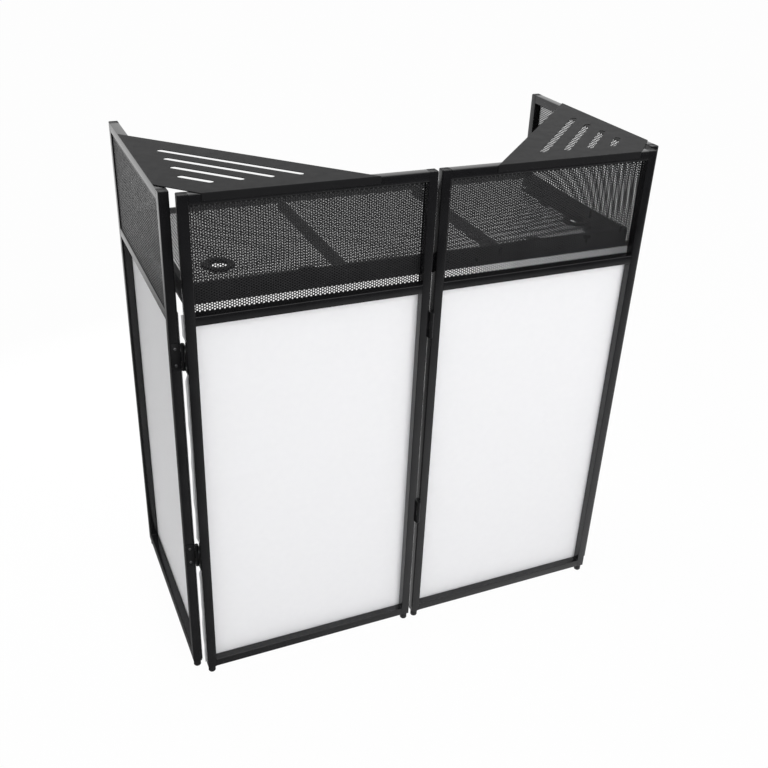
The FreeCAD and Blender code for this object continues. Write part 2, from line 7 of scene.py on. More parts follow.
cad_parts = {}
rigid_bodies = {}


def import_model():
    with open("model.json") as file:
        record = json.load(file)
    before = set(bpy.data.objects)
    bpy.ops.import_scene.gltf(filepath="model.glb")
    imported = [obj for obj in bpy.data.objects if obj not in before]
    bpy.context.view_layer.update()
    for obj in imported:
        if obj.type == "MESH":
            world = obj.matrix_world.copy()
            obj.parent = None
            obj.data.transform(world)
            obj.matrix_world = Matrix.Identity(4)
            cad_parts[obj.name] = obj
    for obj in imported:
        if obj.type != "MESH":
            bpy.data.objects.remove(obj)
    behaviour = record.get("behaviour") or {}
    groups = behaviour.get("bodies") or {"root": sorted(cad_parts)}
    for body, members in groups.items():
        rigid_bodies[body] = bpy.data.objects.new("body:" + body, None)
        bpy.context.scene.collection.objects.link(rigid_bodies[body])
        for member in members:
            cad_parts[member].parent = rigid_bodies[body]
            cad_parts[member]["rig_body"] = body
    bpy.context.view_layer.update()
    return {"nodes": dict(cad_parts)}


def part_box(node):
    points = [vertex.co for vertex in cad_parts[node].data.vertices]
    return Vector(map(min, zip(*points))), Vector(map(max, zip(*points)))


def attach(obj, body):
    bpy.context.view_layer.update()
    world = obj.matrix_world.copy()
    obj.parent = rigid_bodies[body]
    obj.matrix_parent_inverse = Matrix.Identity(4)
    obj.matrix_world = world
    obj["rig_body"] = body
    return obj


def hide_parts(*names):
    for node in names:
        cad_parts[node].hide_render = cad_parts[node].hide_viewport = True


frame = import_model()


# Panel frames
# Four welded frames of 20 mm square steel tube, each two posts and three rails. The joints are
# ground flush outside and keep a small bead in the inside corners; all is powder coated satin black.
PANELS = {"front_left": 0, "front_right": 0, "left_wing": 1, "right_wing": 1}
TUBE = 0.020
TUBE_WALL = 0.0015
TUBE_ROUND = 0.0014
BEAD = 0.0016
BEAD_RIPPLES = 10
BEAD_WAIST = 0.72
SMOOTH_ANGLE = math.radians(38)
ALONG = 0.95
FACING = 0.9
NEAR = 1e-6


def choose(kind, wanted):
    """Selects, of the piece in edit mode, the vertices, edges or faces that are wanted."""
    bpy.ops.mesh.select_mode(type=kind)
    bpy.ops.mesh.select_all(action="DESELECT")
    shape = bmesh.from_edit_mesh(bpy.context.edit_object.data)
    for item in {"VERT": shape.verts, "EDGE": shape.edges, "FACE": shape.faces}[kind]:
        if wanted(item):
            item.select_set(True)
    shape.select_flush_mode()
    bmesh.update_edit_mesh(bpy.context.edit_object.data)


def runs(edge, way):
    """Whether an edge runs along X (0), Y (1) or Z (2)."""
    return abs((edge.verts[1].co - edge.verts[0].co).normalized()[way]) > ALONG


def only(piece):
    bpy.ops.object.select_all(action="DESELECT")
    piece.select_set(True)
    bpy.context.view_layer.objects.active = piece


def settle(piece, place=(0, 0, 0), turn=(0, 0, 0), size=(1, 1, 1)):
    """Moves a piece and keeps its new place in its mesh."""
    only(piece)
    piece.location, piece.rotation_euler, piece.scale = place, turn, size
    bpy.ops.object.transform_apply(location=True, rotation=True, scale=True)
    return piece


def copied(piece, place=(0, 0, 0), turn=(0, 0, 0)):
    only(piece)
    bpy.ops.object.duplicate(linked=False)
    return settle(bpy.context.object, place, turn)


def block(low, high):
    """A block between two corners, left in edit mode."""
    bpy.ops.object.select_all(action="DESELECT")
    bpy.ops.mesh.primitive_cube_add(size=1, location=(0, 0, 0))
    piece = settle(bpy.context.object, (low + high) / 2, size=high - low)
    bpy.ops.object.mode_set(mode="EDIT")
    return piece


def joined(name, pieces):
    """One piece of several, with round faces shaded smooth."""
    bpy.ops.object.select_all(action="DESELECT")
    for piece in pieces:
        piece.select_set(True)
    bpy.context.view_layer.objects.active = pieces[0]
    if len(pieces) > 1:
        bpy.ops.object.join()
    whole = bpy.context.object
    whole.name = whole.data.name = name
    bpy.ops.object.shade_smooth_by_angle(angle=SMOOTH_ANGLE)
    return whole


def coated(piece, finish):
    piece.data.materials.clear()
    piece.data.materials.append(finish)


def fitted(piece, finish, slot, *nodes):
    """Gives a piece its finish and puts it in the place of the solids that it stands for."""
    coated(piece, finish)
    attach(piece, frame["nodes"][nodes[0]]["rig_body"])
    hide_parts(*nodes)


def powder_coat(name, deep, pale, gloss, peel, shine=0.28):
    """Baked powder: cloudy shade, uneven gloss and a fine orange peel."""
    coat = bpy.data.materials.new(name)
    coat.use_nodes = True
    nodes, links = coat.node_tree.nodes, coat.node_tree.links
    shader = nodes["Principled BSDF"]
    shader.inputs["Specular IOR Level"].default_value = shine
    spot = nodes.new("ShaderNodeTexCoord")
    cloud = nodes.new("ShaderNodeTexNoise")
    cloud.inputs["Scale"].default_value = 16
    cloud.inputs["Detail"].default_value = 6
    shade = nodes.new("ShaderNodeValToRGB")
    shade.color_ramp.elements[0].position, shade.color_ramp.elements[0].color = 0.32, (*deep, 1)
    shade.color_ramp.elements[1].position, shade.color_ramp.elements[1].color = 0.68, (*pale, 1)
    smear = nodes.new("ShaderNodeTexNoise")
    smear.inputs["Scale"].default_value = 45
    smear.inputs["Detail"].default_value = 4
    rough = nodes.new("ShaderNodeMapRange")
    rough.inputs["From Min"].default_value, rough.inputs["From Max"].default_value = 0.3, 0.7
    rough.inputs["To Min"].default_value, rough.inputs["To Max"].default_value = gloss
    skin = nodes.new("ShaderNodeTexNoise")
    skin.name = "skin"
    skin.inputs["Scale"].default_value = 650
    skin.inputs["Detail"].default_value = 2
    bump = nodes.new("ShaderNodeBump")
    bump.inputs["Strength"].default_value = peel
    bump.inputs["Distance"].default_value = 0.0004
    for texture in (cloud, smear, skin):
        links.new(spot.outputs["Object"], texture.inputs["Vector"])
    links.new(cloud.outputs["Fac"], shade.inputs["Fac"])
    links.new(shade.outputs["Color"], shader.inputs["Base Color"])
    links.new(smear.outputs["Fac"], rough.inputs["Value"])
    links.new(rough.outputs["Result"], shader.inputs["Roughness"])
    links.new(skin.outputs["Fac"], bump.inputs["Height"])
    links.new(bump.outputs["Normal"], shader.inputs["Normal"])
    return coat


def tube(low, high, way, open_ends):
    """A length of drawn tube: its long corners rounded and, where they show, its ends hollow."""
    piece = block(low, high)
    choose("EDGE", lambda edge: runs(edge, way))
    bpy.ops.mesh.bevel(offset=TUBE_ROUND, segments=4, affect="EDGES")
    if open_ends:
        choose("FACE", lambda face: abs(face.normal[way]) > FACING)
        bpy.ops.mesh.inset(thickness=TUBE_WALL, use_individual=True)
        bpy.ops.mesh.inset(thickness=0, depth=-TUBE, use_individual=True)
    bpy.ops.object.mode_set(mode="OBJECT")
    return piece


def weld_bead():
    """A rippled bead as long as the tube is deep, lying along X."""
    length = TUBE - 2 * TUBE_ROUND
    bpy.ops.object.select_all(action="DESELECT")
    bpy.ops.mesh.primitive_cylinder_add(vertices=8, radius=BEAD, depth=length)
    bead = settle(bpy.context.object, turn=(0, math.radians(90), 0))
    bpy.ops.object.mode_set(mode="EDIT")
    choose("EDGE", lambda edge: runs(edge, 0))
    bpy.ops.mesh.subdivide(number_cuts=BEAD_RIPPLES - 1)
    ripple = length / BEAD_RIPPLES
    choose("VERT", lambda corner: round(abs(corner.co.x) / ripple) % 2)
    bpy.ops.transform.resize(value=(1, BEAD_WAIST, BEAD_WAIST), center_override=(0, 0, 0))
    bpy.ops.object.mode_set(mode="OBJECT")
    return bead


frame_coat = powder_coat("satin_black_frame_coat", (0.0075, 0.0075, 0.0082), (0.0115, 0.0115, 0.0125),
                         (0.10, 0.16), 0.05, 0.5)
bead = weld_bead()
for panel, way in PANELS.items():
    low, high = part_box(f"{panel}_posts")
    rail_low, rail_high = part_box(f"{panel}_rails")
    mid_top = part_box(f"{panel}_mesh")[0].z
    parts = []
    for start in (low[way], high[way] - TUBE):
        foot, head = low.copy(), high.copy()
        foot[way], head[way] = start, start + TUBE
        parts.append(tube(foot, head, 2, True))
    for top in (low.z + TUBE, mid_top, rail_high.z):
        left, right = rail_low.copy(), rail_high.copy()
        left.z, right.z = top - TUBE, top
        parts.append(tube(left, right, way, False))
    middle = (low + high) / 2
    for side in (low[way] + TUBE, high[way] - TUBE):
        for height in (low.z + TUBE, mid_top - TUBE, mid_top, rail_high.z - TUBE):
            spot = middle.copy()
            spot[way], spot.z = side, height
            parts.append(copied(bead, spot, (0, 0, math.radians(90 * (1 - way)))))
    fitted(joined(f"{panel}_frame", parts), frame_coat, "frame_coat", f"{panel}_posts", f"{panel}_rails")
bpy.data.objects.remove(bead)


# End caps
# Moulded black plastic caps pushed into the tops of the posts, with a shallow dish and soft edges.
# A plain plug below goes down into the tube.
CAP_ROUND = 0.0024
CAP_EDGE = 0.0006
CAP_DISH = 0.0003
CAP_RIM = 0.0009
CAP_SLOPE = 0.0004
CAP_PLUG_INSET = 0.0018
CAP_PLUG = 0.007
LEVEL = 0.99


def plastic(name, deep, pale, gloss, grain, depth, shine=0.28):
    """Moulded plastic with a spark-eroded grain and faint handling marks."""
    mould = powder_coat(name, deep, pale, gloss, depth, shine)
    skin = mould.node_tree.nodes["skin"]
    skin.inputs["Scale"].default_value = grain
    skin.inputs["Detail"].default_value = 4
    return mould


cap_plastic = plastic("black_cap_plastic", (0.010, 0.010, 0.011), (0.016, 0.016, 0.017),
                      (0.42, 0.55), 900, 0.3)
for panel, way in PANELS.items():
    low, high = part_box(f"{panel}_end_caps")
    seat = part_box(f"{panel}_posts")[1].z
    caps = []
    for start in (low[way], high[way] - TUBE):
        foot, head = low.copy(), high.copy()
        foot[way], head[way], foot.z = start, start + TUBE, seat
        cap = block(foot, head)
        choose("EDGE", lambda edge: runs(edge, 2))
        bpy.ops.mesh.bevel(offset=CAP_ROUND, segments=4, affect="EDGES")
        choose("FACE", lambda face: face.normal.z > FACING)
        bpy.ops.mesh.inset(thickness=CAP_EDGE)
        choose("VERT", lambda corner: corner.co.z > head.z - NEAR
               and any(runs(edge, 2) for edge in corner.link_edges))
        bpy.ops.transform.translate(value=(0, 0, -CAP_EDGE))
        choose("FACE", lambda face: face.normal.z > LEVEL)
        bpy.ops.mesh.inset(thickness=CAP_RIM)
        bpy.ops.mesh.inset(thickness=CAP_SLOPE, depth=-CAP_DISH)
        choose("FACE", lambda face: face.normal.z < -FACING)
        bpy.ops.mesh.inset(thickness=CAP_PLUG_INSET)
        bpy.ops.mesh.inset(thickness=0, depth=CAP_PLUG)
        bpy.ops.object.mode_set(mode="OBJECT")
        caps.append(cap)
    fitted(joined(f"{panel}_caps", caps), cap_plastic, "cap_plastic", f"{panel}_end_caps")


# Glide feet
# Round moulded feet under the posts: a plug with a collar goes up into the tube, and a turned
# glide with a rounded edge stands on the floor.
FOOT_RINGS = ((0.0062, 0.0), (0.0076, 0.0006), (0.0085, 0.0022), (0.0085, 0.0125), (0.0079, 0.0135),
              (0.0079, 0.0148), (0.0092, 0.0156), (0.0096, 0.0163), (0.0096, 0.018), (0.0078, 0.018),
              (0.0078, 0.026))


def turned(rings, sides, closed_round=False):
    """A round piece drawn ring by ring, about the Z axis; a closed round returns to its first ring."""
    bpy.ops.object.select_all(action="DESELECT")
    bpy.ops.mesh.primitive_circle_add(vertices=sides, radius=rings[0][0], fill_type="NOTHING")
    piece = settle(bpy.context.object, (0, 0, rings[0][1]))
    bpy.ops.object.mode_set(mode="EDIT")
    bpy.ops.mesh.select_all(action="SELECT")
    path = rings + rings[:1] if closed_round else rings
    for (radius, height), (next_radius, next_height) in zip(path, path[1:]):
        bpy.ops.mesh.extrude_edges_move(TRANSFORM_OT_translate={"value": (0, 0, next_height - height)})
        share = next_radius / radius
        bpy.ops.transform.resize(value=(share, share, 1), center_override=(0, 0, next_height))
    if not closed_round:
        bpy.ops.mesh.edge_face_add()
        choose("VERT", lambda corner: abs(corner.co.z - rings[0][1]) < NEAR
               and abs(corner.co.xy.length - rings[0][0]) < NEAR)
        bpy.ops.mesh.edge_face_add()
    bpy.ops.mesh.select_all(action="SELECT")
    bpy.ops.mesh.remove_doubles(threshold=NEAR)
    bpy.ops.mesh.normals_make_consistent(inside=False)
    bpy.ops.object.mode_set(mode="OBJECT")
    return piece


foot_plastic = plastic("dark_foot_plastic", (0.013, 0.013, 0.014), (0.021, 0.021, 0.022),
                       (0.38, 0.52), 700, 0.25)
glide = turned(FOOT_RINGS, 32)
for panel, way in PANELS.items():
    low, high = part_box(f"{panel}_posts")
    feet = []
    for along in (low[way] + TUBE / 2, high[way] - TUBE / 2):
        spot = (low + high) / 2
        spot[way], spot.z = along, 0
        feet.append(copied(glide, spot))
    fitted(joined(f"{panel}_glides", feet), foot_plastic, "foot_plastic", f"{panel}_feet")
bpy.data.objects.remove(glide)


# Perforated window sheets
# Punched steel sheet welded into the upper windows: round holes in upright staggered rows that
# reach the tubes, with a narrow plain margin under the top rail. It is coated with the frame's satin black,
# which is painted paler here as painted light, so the sheet reads lighter than the shade behind it.
HOLE_PITCH = 0.0057
HOLE_RADIUS = 0.00184
SHEET_RIM = 0.0008
TOP_MARGIN = 0.008
WINDOW_SHEET = 0.0005
CELL_INSET_SHARE = 0.2
MERGE = 1e-5


def repeated(piece, count, shift):
    """Repeats a cell of the sheet in a row, joined edge to edge."""
    only(piece)
    row = piece.modifiers.new("row", "ARRAY")
    row.count, row.use_relative_offset, row.use_constant_offset = count, False, True
    row.constant_offset_displace = shift
    row.use_merge_vertices, row.merge_threshold = True, MERGE
    bpy.ops.object.modifier_apply(modifier="row")


def perforated(name, width, length, thickness, hole, sides, margin=0, cut_out=None):
    """A sheet with staggered holes that lies flat about the origin; cut_out is a round hole in it.

    A hole has eight sides, or six in a large sheet. The margin, at the end in X, has no holes.
    """
    field = (width / 2 - SHEET_RIM, length / 2 - SHEET_RIM)
    columns = round(2 * field[0] / HOLE_PITCH)
    pitch = 2 * field[0] / columns
    rows = 2 * round((2 * field[1] / (pitch * math.sin(math.radians(60))) - 1) / 2) + 1
    rise = 2 * field[1] / rows
    bpy.ops.object.select_all(action="DESELECT")
    bpy.ops.mesh.primitive_plane_add(size=1)
    cell = settle(bpy.context.object, size=(pitch, rise, 1))
    bpy.ops.object.mode_set(mode="EDIT")
    bpy.ops.mesh.select_all(action="SELECT")
    bpy.ops.mesh.subdivide(number_cuts=1)
    choose("VERT", lambda corner: abs(corner.co.y) < NEAR and (sides == 6 or abs(corner.co.x) < NEAR))
    bpy.ops.mesh.dissolve_verts()
    choose("FACE", lambda face: True)
    bpy.ops.mesh.inset(thickness=rise * CELL_INSET_SHARE)
    bpy.ops.transform.tosphere(value=1)
    ring = [corner.co.length for corner in bmesh.from_edit_mesh(cell.data).verts if corner.select]
    share = hole * len(ring) / sum(ring)
    bpy.ops.transform.resize(value=(share, share, 1), center_override=(0, 0, 0))
    bpy.ops.mesh.delete(type="ONLY_FACE")
    bpy.ops.object.mode_set(mode="OBJECT")
    first = (-(columns - 1) * pitch / 2, -(rows - 1) * rise / 2)
    stagger = copied(cell, (first[0] + pitch / 2, first[1] + rise, 0))
    settle(cell, (first[0], first[1], 0))
    repeated(cell, columns, (pitch, 0, 0))
    repeated(cell, (rows + 1) // 2, (0, 2 * rise, 0))
    repeated(stagger, columns - 1, (pitch, 0, 0))
    repeated(stagger, rows // 2, (0, 2 * rise, 0))
    fillers = []
    for side in (-1, 1):
        bpy.ops.object.select_all(action="DESELECT")
        bpy.ops.mesh.primitive_plane_add(size=1)
        filler = settle(bpy.context.object, size=(pitch / 2, rise, 1))
        bpy.ops.object.mode_set(mode="EDIT")
        choose("EDGE", lambda edge: sides == 8 and runs(edge, 1))
        bpy.ops.mesh.subdivide(number_cuts=1)
        bpy.ops.object.mode_set(mode="OBJECT")
        settle(filler, (side * (columns * pitch / 2 - pitch / 4), first[1] + rise, 0))
        repeated(filler, rows // 2, (0, 2 * rise, 0))
        fillers.append(filler)
    sheet = joined(name, [cell, stagger, *fillers])
    bpy.ops.object.mode_set(mode="EDIT")
    bpy.ops.mesh.select_all(action="SELECT")
    bpy.ops.mesh.remove_doubles(threshold=2 * MERGE)
    choose("EDGE", lambda edge: edge.is_boundary and all(
        field[0] - margin < corner.co.x < field[0] - MERGE and abs(corner.co.y) < field[1] - MERGE
        for corner in edge.verts))
    bpy.ops.mesh.fill_holes(sides=sides)
    if cut_out:
        centre, radius = cut_out
        choose("FACE", lambda face: (face.calc_center_median().xy - centre).length < radius)
        bpy.ops.mesh.delete(type="FACE")
    choose("EDGE", lambda edge: any(
        all(abs(abs(corner.co[way]) - field[way]) < MERGE for corner in edge.verts) for way in (0, 1)))
    bpy.ops.mesh.extrude_edges_move(TRANSFORM_OT_translate={"value": (0, 0, 0)})
    bpy.ops.transform.resize(value=(width / 2 / field[0], length / 2 / field[1], 1),
                             center_override=(0, 0, 0))
    bpy.ops.object.mode_set(mode="OBJECT")
    wall = sheet.modifiers.new("wall", "SOLIDIFY")
    wall.thickness, wall.offset = thickness, 0
    bpy.ops.object.modifier_apply(modifier="wall")
    return sheet


# Painted light: the frame's black with its base colour raised, so the sheet shows lighter than the shaded
# table behind it.
mesh_coat = powder_coat("satin_black_mesh_coat", (0.0145, 0.0145, 0.0155), (0.0195, 0.0195, 0.0207),
                        (0.26, 0.36), 0.06)
for first, second in (("front_left", "front_right"), ("left_wing", "right_wing")):
    way = PANELS[first]
    low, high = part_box(f"{first}_mesh")
    size = high - low
    sheet = perforated(f"{first}_perforated", size.z, size[way], WINDOW_SHEET, HOLE_RADIUS, 8, TOP_MARGIN)
    settle(sheet, turn=(0, 0, math.radians(90)))
    settle(sheet, turn=(math.radians(90), 0, 0))
    settle(sheet, (low + high) / 2, (0, 0, math.radians(90 * way)))
    other_low, other_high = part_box(f"{second}_mesh")
    twin = copied(sheet, (other_low + other_high - low - high) / 2)
    twin.name = twin.data.name = f"{second}_perforated"
    for panel, piece in ((first, sheet), (second, twin)):
        fitted(piece, mesh_coat, "mesh_coat", f"{panel}_mesh")


# Hook tape
# Woven black tape with stiff hooks, stuck round the inner face of each lower window.
# The cloth's soft edge presses on to it.
tape_fabric = powder_coat("black_hook_tape", (0.008, 0.008, 0.009), (0.03, 0.03, 0.032), (0.75, 0.95), 1.0)
for panel in PANELS:
    coated(frame["nodes"][f"{panel}_hook_tape"], tape_fabric)


# Scrims
# White stretch knit pulled tight over the lower windows from behind and pressed on to the hook
# tape. The cut edge waves a little between the places where it was pulled.
CLOTH = 0.0008
CLOTH_GRID = (52, 120)
KNIT_SPREAD = (0.519, 0.914, 1)
HEM_OUT = 0.0048
HEM_WAVE = 0.0014
SIDE_WAVE = 0.0008
END_WAVE = 0.0007
EDGE_BAND = 0.02
PULL = 0.0004
PULL_BAND = 0.09
PULL_RATE = 1.7
HINGE_HEIGHTS = (0.341, 0.840)
HINGE_FADE = 0.012
HINGE_CLEAR = 3.1
WAVES = ((31, 1, 1), (67, 2.3, 0.7), (128, 4.1, 0.4))


def knit():
    """White knit: fine courses and wales, a soft sheen and faint unevenness in the yarn."""
    cloth = bpy.data.materials.new("white_stretch_knit")
    cloth.use_nodes = True
    nodes, links = cloth.node_tree.nodes, cloth.node_tree.links
    shader = nodes["Principled BSDF"]
    shader.inputs["Roughness"].default_value = 0.8
    shader.inputs["Subsurface Weight"].default_value = 0.8
    shader.inputs["Subsurface Radius"].default_value = (1, 1, 1)
    shader.inputs["Subsurface Scale"].default_value = 0.0009
    shader.inputs["Sheen Weight"].default_value = 0.15
    shader.inputs["Specular IOR Level"].default_value = 0.25
    spot = nodes.new("ShaderNodeUVMap")
    scale = nodes.new("ShaderNodeMapping")
    scale.inputs["Scale"].default_value = KNIT_SPREAD
    links.new(spot.outputs["UV"], scale.inputs["Vector"])
    yarn = nodes.new("ShaderNodeTexNoise")
    yarn.inputs["Scale"].default_value = 60
    yarn.inputs["Detail"].default_value = 6
    shade = nodes.new("ShaderNodeValToRGB")
    shade.color_ramp.elements[0].position, shade.color_ramp.elements[0].color = 0.3, (0.852, 0.852, 0.865, 1)
    shade.color_ramp.elements[1].position, shade.color_ramp.elements[1].color = 0.7, (0.865, 0.865, 0.876, 1)
    links.new(scale.outputs["Vector"], yarn.inputs["Vector"])
    links.new(yarn.outputs["Fac"], shade.inputs["Fac"])
    links.new(shade.outputs["Color"], shader.inputs["Base Color"])
    ribs = []
    for direction in ("X", "Y"):
        rib = nodes.new("ShaderNodeTexWave")
        rib.bands_direction = direction
        rib.inputs["Scale"].default_value = 320
        rib.inputs["Distortion"].default_value = 0.6
        links.new(scale.outputs["Vector"], rib.inputs["Vector"])
        ribs.append(rib)
    loops = nodes.new("ShaderNodeMath")
    loops.operation = "MULTIPLY"
    links.new(ribs[0].outputs["Fac"], loops.inputs[0])
    links.new(ribs[1].outputs["Fac"], loops.inputs[1])
    bump = nodes.new("ShaderNodeBump")
    bump.inputs["Strength"].default_value = 0.25
    bump.inputs["Distance"].default_value = 0.0003
    links.new(loops.outputs["Value"], bump.inputs["Height"])
    links.new(bump.outputs["Normal"], shader.inputs["Normal"])
    return cloth


def wave(along, seed):
    """A slow uneven wave along an edge, between minus one and one."""
    swing = sum(share * math.sin(along * rate + drift * seed) for rate, drift, share in WAVES)
    return swing / sum(share for rate, drift, share in WAVES)


scrim_fabric = knit()
for number, (panel, way) in enumerate(PANELS.items()):
    low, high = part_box(f"{panel}_scrim")
    size = high - low
    bpy.ops.object.select_all(action="DESELECT")
    bpy.ops.mesh.primitive_grid_add(x_subdivisions=CLOTH_GRID[0], y_subdivisions=CLOTH_GRID[1], size=1)
    cloth = settle(bpy.context.object, size=(size[way], size.z, 1))
    outer = {"front_left": -1, "front_right": 1}.get(panel, 0)
    for corner in cloth.data.vertices:
        x, y = corner.co.x, corner.co.y
        from_side, from_end = size[way] / 2 - abs(x), size.z / 2 - abs(y)
        near_side = max(0, 1 - from_side / EDGE_BAND)
        near_end = max(0, 1 - from_end / EDGE_BAND)
        side = 1 if x > 0 else -1
        height = y + (low.z + high.z) / 2
        to_hinge = min(abs(height - at) for at in HINGE_HEIGHTS)
        free = min(1, max(0, to_hinge / HINGE_FADE - HINGE_CLEAR))
        if side == outer:
            out = HEM_OUT * free + HEM_WAVE * free * wave(y, number)
        else:
            out = SIDE_WAVE * wave(y, number + 3)
        corner.co.x += side * out * near_side
        corner.co.y += END_WAVE * wave(x, number + 5) * near_end * (1 if y > 0 else -1)
        pull = max(0, 1 - from_side / PULL_BAND) ** 2 * wave(PULL_RATE * y, number + side)
        pull += max(0, 1 - from_end / PULL_BAND) ** 2 * wave(PULL_RATE * x, number + 7)
        held = min(1, from_side / EDGE_BAND, from_end / EDGE_BAND)
        corner.co.z += PULL * pull * held
    wall = cloth.modifiers.new("cloth", "SOLIDIFY")
    wall.thickness, wall.offset = CLOTH, 0
    only(cloth)
    bpy.ops.object.modifier_apply(modifier="cloth")
    settle(cloth, turn=(math.radians(90), 0, 0))
    settle(cloth, (low + high) / 2, (0, 0, math.radians(90 * way)))
    fitted(joined(f"{panel}_cloth", [cloth]), scrim_fabric, "scrim_fabric", f"{panel}_scrim")


# Butt hinges
# Pressed steel leaves with rolled knuckles on a plain pin, screwed to the posts with cross-head
# screws. They are blacked, and a little glossier than the frames.
PIN_AXES = {"left": (-0.53075, -0.23765), "right": (0.53075, -0.23765), "centre": (0.0, -0.27065)}
SIDE_OFFSET = 0.004
CENTRE_OFFSET = 0.00475
KNUCKLE = 0.0037
KNUCKLE_EDGE = 0.0004
KNUCKLE_GAP = 0.0002
LEAF = 0.0018
LEAF_CORNER = 0.0035
LEAF_EDGE = 0.0003
LEAF_LAP = 0.0006
LEAF_WIDTH = 0.022
LEAF_START = 0.0041
HINGE = 0.060
HINGE_FEET = (0.311, 0.810)
PIN = 0.002
PIN_CLEARANCE = 0.00005
PIN_TIP = 0.0005
PIN_TIP_SHARE = 0.7
SCREW_RINGS = ((0.0034, 0.0), (0.0034, 0.0004), (0.0031, 0.0008), (0.0025, 0.0011), (0.0016, 0.0012))
SCREW_REACH = 0.014
SCREW_STEPS = (0.0115, 0.0485)
SCREW_SLOT = (0.0017, 0.00035)
SCREW_SLOT_HEIGHTS = (0.0005, 0.002)
EDGE_ANGLE = math.radians(50)


def edged(piece, width):
    """Breaks the sharp edges."""
    only(piece)
    broken = piece.modifiers.new("edge", "BEVEL")
    broken.width, broken.segments, broken.limit_method = width, 2, "ANGLE"
    broken.angle_limit = EDGE_ANGLE
    bpy.ops.object.modifier_apply(modifier="edge")
    return piece


def leaf(knuckles, offset, side):
    """A leaf that reaches along X from a pin on the Z axis, flat on a face at the offset in Y."""
    near, far = sorted((side * (offset - LEAF), side * offset))
    plate = block(Vector((LEAF_START, near, 0)), Vector((LEAF_WIDTH, far, HINGE)))
    choose("EDGE", lambda edge: runs(edge, 1) and edge.verts[0].co.x > LEAF_WIDTH - NEAR)
    bpy.ops.mesh.bevel(offset=LEAF_CORNER, segments=5, affect="EDGES")
    bpy.ops.object.mode_set(mode="OBJECT")
    bore, shoulder = PIN + PIN_CLEARANCE, KNUCKLE - KNUCKLE_EDGE
    parts = [edged(plate, LEAF_EDGE)]
    for bottom, top in knuckles:
        tongue = block(Vector((0, near, bottom)), Vector((LEAF_START + LEAF_LAP, far, top)))
        bpy.ops.object.mode_set(mode="OBJECT")
        parts.append(tongue)
        parts.append(turned(((bore, bottom), (shoulder, bottom), (KNUCKLE, bottom + KNUCKLE_EDGE),
                             (KNUCKLE, top - KNUCKLE_EDGE), (shoulder, top), (bore, top)), 28, True))
    return parts


def screw():
    """A round-headed screw with a crossed slot, its seat on the XY plane."""
    head = turned(SCREW_RINGS, 20)
    reach, half = SCREW_SLOT
    bottom, top = SCREW_SLOT_HEIGHTS
    for turn in (0, 90):
        slot = block(Vector((-reach, -half, bottom)), Vector((reach, half, top)))
        bpy.ops.object.mode_set(mode="OBJECT")
        settle(slot, turn=(0, 0, math.radians(turn)))
        only(head)
        cut = head.modifiers.new("slot", "BOOLEAN")
        cut.operation, cut.object, cut.solver = "DIFFERENCE", slot, "EXACT"
        bpy.ops.object.modifier_apply(modifier="slot")
        bpy.data.objects.remove(slot)
    return head


def pin():
    tip = PIN * PIN_TIP_SHARE
    return turned(((tip, 0.0), (PIN, PIN_TIP), (PIN, HINGE - PIN_TIP), (tip, HINGE)), 24)


def mirrored(piece, name):
    """The right hand of a left-hand piece."""
    twin = copied(piece)
    settle(twin, size=(-1, 1, 1))
    bpy.ops.object.mode_set(mode="EDIT")
    bpy.ops.mesh.select_all(action="SELECT")
    bpy.ops.mesh.normals_make_consistent(inside=False)
    bpy.ops.object.mode_set(mode="OBJECT")
    return joined(name, [twin])


outer_knuckles = ((0, HINGE / 3 - KNUCKLE_GAP), (HINGE * 2 / 3 + KNUCKLE_GAP, HINGE))
middle_knuckle = ((HINGE / 3 + KNUCKLE_GAP, HINGE * 2 / 3 - KNUCKLE_GAP),)
hinge_steel = powder_coat("blacked_hinge_steel", (0.010, 0.010, 0.011), (0.02, 0.02, 0.021),
                          (0.3, 0.45), 0.06)
hinge_steel.node_tree.nodes["Principled BSDF"].inputs["Metallic"].default_value = 0.35
screw_steel = powder_coat("dark_zinc_screws", (0.16, 0.16, 0.165), (0.26, 0.26, 0.265), (0.25, 0.42), 0.05)
screw_steel.node_tree.nodes["Principled BSDF"].inputs["Metallic"].default_value = 1.0
cross_head = screw()


def hinge_side(line, knuckles, offset, side, turn):
    """The upper and lower leaves on one side of a hinge line, and their screws."""
    leaves, screws = [], []
    x, y = PIN_AXES[line]
    for foot in HINGE_FEET:
        for part in leaf(knuckles, offset, side):
            leaves.append(settle(part, (x, y, foot), (0, 0, math.radians(turn))))
        for step in SCREW_STEPS:
            seat = (SCREW_REACH, side * (offset - LEAF), step)
            head = copied(cross_head, seat, (math.radians(90 * side), 0, 0))
            screws.append(settle(head, (x, y, foot), (0, 0, math.radians(turn))))
    return leaves, screws


front_leaves, front_screws = hinge_side("left", outer_knuckles, SIDE_OFFSET, 1, -90)
wing_leaves, wing_screws = hinge_side("left", middle_knuckle, SIDE_OFFSET, -1, 180)
centre_left, centre_left_screws = hinge_side("centre", outer_knuckles, CENTRE_OFFSET, 1, 90)
centre_right, centre_right_screws = hinge_side("centre", middle_knuckle, CENTRE_OFFSET, -1, 90)
left_pins = [settle(pin(), (*PIN_AXES["left"], foot)) for foot in HINGE_FEET]
centre_pins = [settle(pin(), (*PIN_AXES["centre"], foot)) for foot in HINGE_FEET]

